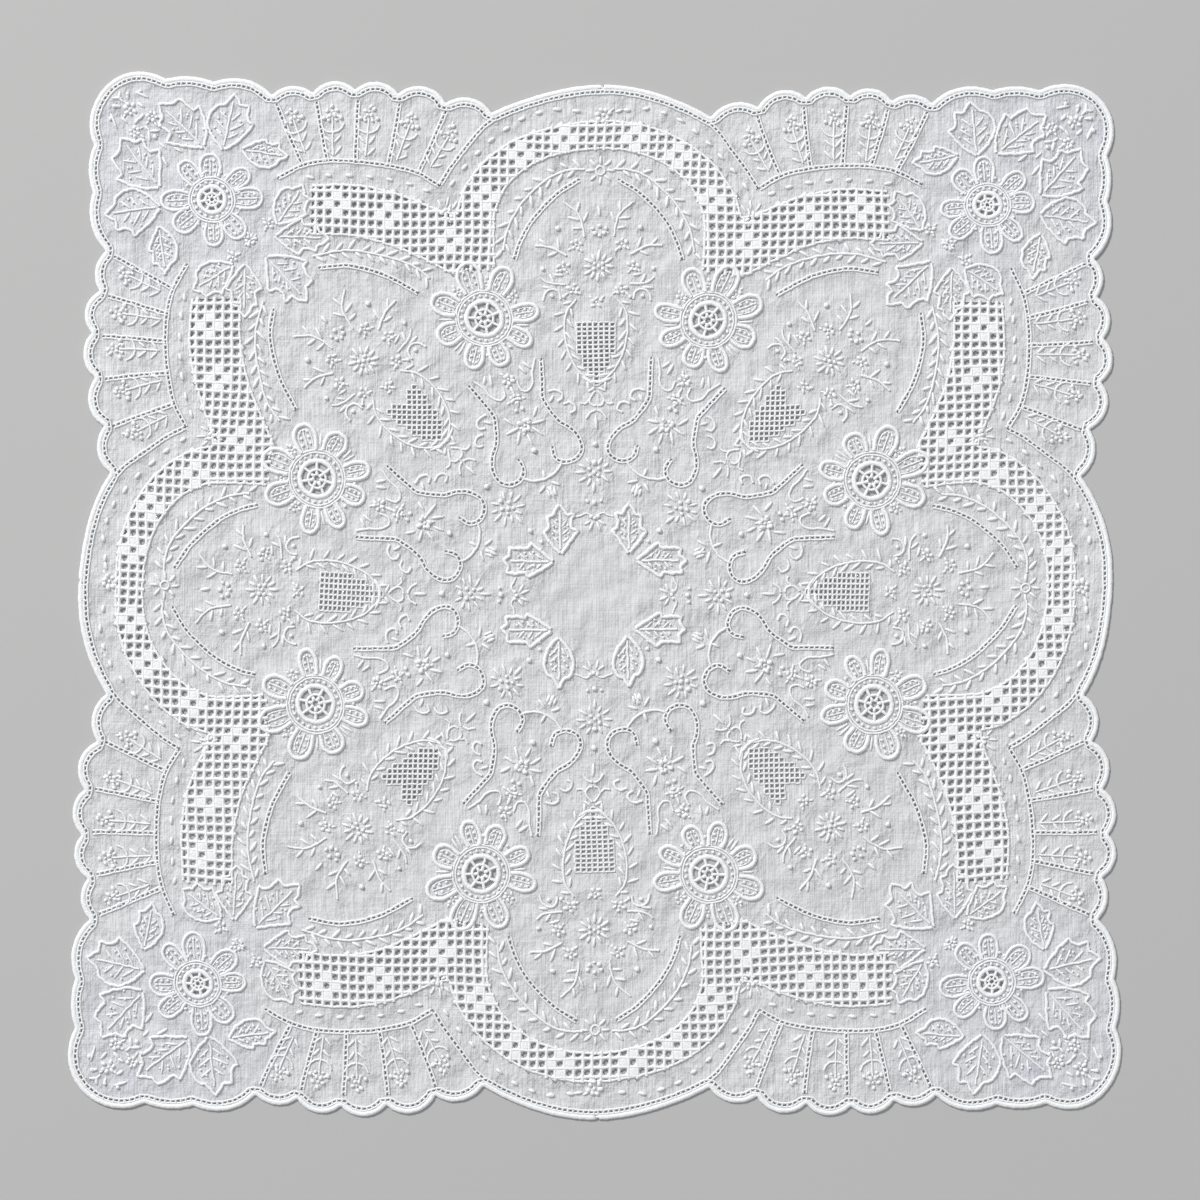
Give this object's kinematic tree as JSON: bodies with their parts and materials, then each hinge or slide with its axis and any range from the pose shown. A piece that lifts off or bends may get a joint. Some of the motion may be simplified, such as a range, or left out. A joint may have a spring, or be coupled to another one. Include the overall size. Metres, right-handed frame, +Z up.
{
  "type": "linen handkerchief",
  "caption": "Square white linen handkerchief with a scalloped corded edge, drawn-thread bands and whitework embroidery, laid out flat.",
  "frame": {"origin": "under the middle of the cloth, on the flat surface that it lies on", "axes": "+X to the right and +Y to the top of the laid-out square, along the threads of the linen; +Z up, out of the worked face"},
  "size_m": [0.3343, 0.3322, 0.001],
  "materials": {
    "linen": "fine matt white linen with bright cotton embroidery"
  },
  "bodies": {
    "root": {"handkerchief": "linen"}
  },
  "joints": []
}
